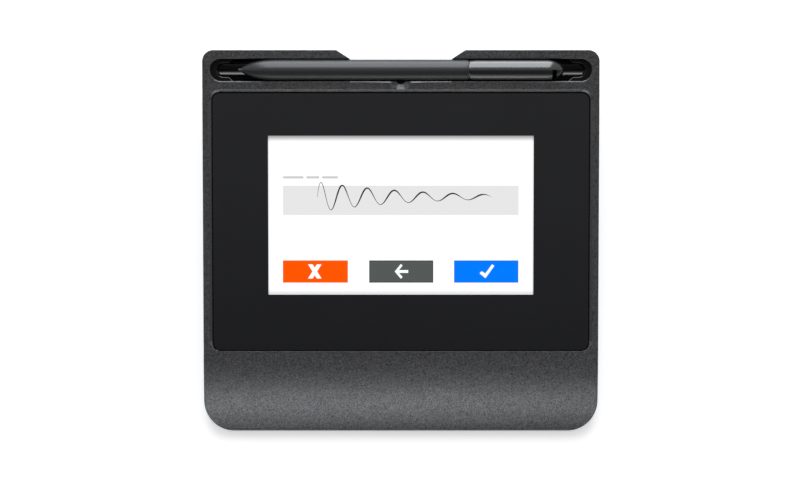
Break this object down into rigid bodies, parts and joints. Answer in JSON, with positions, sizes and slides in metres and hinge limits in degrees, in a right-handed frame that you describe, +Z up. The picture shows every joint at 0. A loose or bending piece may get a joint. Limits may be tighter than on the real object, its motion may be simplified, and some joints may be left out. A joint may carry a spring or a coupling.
{
  "type": "signature pad",
  "caption": "Desktop signature pad: wedge-shaped case, glass-covered colour display, rear pen tray with a finger gap, and a lift-off pen.",
  "frame": {"origin": "middle of the box at desk level, under the feet", "axes": "+X to the user's right, +Y to the rear edge with the pen tray, +Z up"},
  "size_m": [0.1608, 0.1524, 0.0376],
  "materials": {
    "case_grey": "fine spark texture with a light sparkle",
    "base_black": "matt moulded",
    "cover_glass": "satin black border printed behind an etched pane",
    "tape_black": "matt foam tape",
    "display": "lit white screen",
    "backlight_white": "matt white film",
    "bright_steel": "plain sheet steel",
    "screw_steel": "blackened steel",
    "board_green": "solder mask",
    "ribbon_amber": "polyimide film",
    "chip_black": "moulded package",
    "connector_cream": "moulded",
    "tray_black": "polished black",
    "pen_grey": "fine satin",
    "pen_cap_grey": "satin grey",
    "nib_grey": "hard satin plastic",
    "ferrite": "sintered",
    "copper": "enamelled wire",
    "foot_rubber": "soft black rubber"
  },
  "bodies": {
    "pad": {"top_case": "case_grey", "bottom_case": "base_black", "cover_glass": "cover_glass", "glass_tape": "tape_black", "display_panel": "display", "backlight": "backlight_white", "display_frame": "bright_steel", "sensing_board": "board_green", "shield_plate": "bright_steel", "display_ribbon": "ribbon_amber", "sensing_ribbon": "ribbon_amber", "main_board": "board_green", "controller_chip": "chip_black", "interface_chip": "chip_black", "crystal": "bright_steel", "display_connector": "connector_cream", "sensing_connector": "connector_cream", "inlet_socket": "bright_steel", "lock_plate": "bright_steel", "ballast_plate": "bright_steel", "pen_tray": "tray_black", "foot_rear_left": "foot_rubber", "foot_rear_right": "foot_rubber", "foot_front_left": "foot_rubber", "foot_front_right": "foot_rubber", "case_screw_rear_left": "screw_steel", "case_screw_rear_right": "screw_steel", "case_screw_middle_left": "screw_steel", "case_screw_middle_right": "screw_steel", "case_screw_front_left": "screw_steel", "case_screw_front_right": "screw_steel", "board_screw_rear_left": "screw_steel", "board_screw_rear_right": "screw_steel", "board_screw_front_left": "screw_steel", "board_screw_front_right": "screw_steel"},
    "pen": {"pen_barrel": "pen_grey", "pen_tail_cap": "pen_cap_grey", "pen_core": "ferrite", "pen_coil": "copper", "pressure_sensor": "bright_steel", "pen_board": "board_green"},
    "nib": {"pen_nib": "nib_grey"}
  },
  "joints": [
    {"name": "pen_lift", "type": "slide", "parent": "pad", "child": "pen", "axis": [0, -0.1736, 0.9848], "range_m": [0, 0.06]},
    {"name": "nib_press", "type": "slide", "parent": "pen", "child": "nib", "axis": [1, 0, 0], "range_m": [0, 0.0003], "stiffness_N_per_m": 1500}
  ]
}
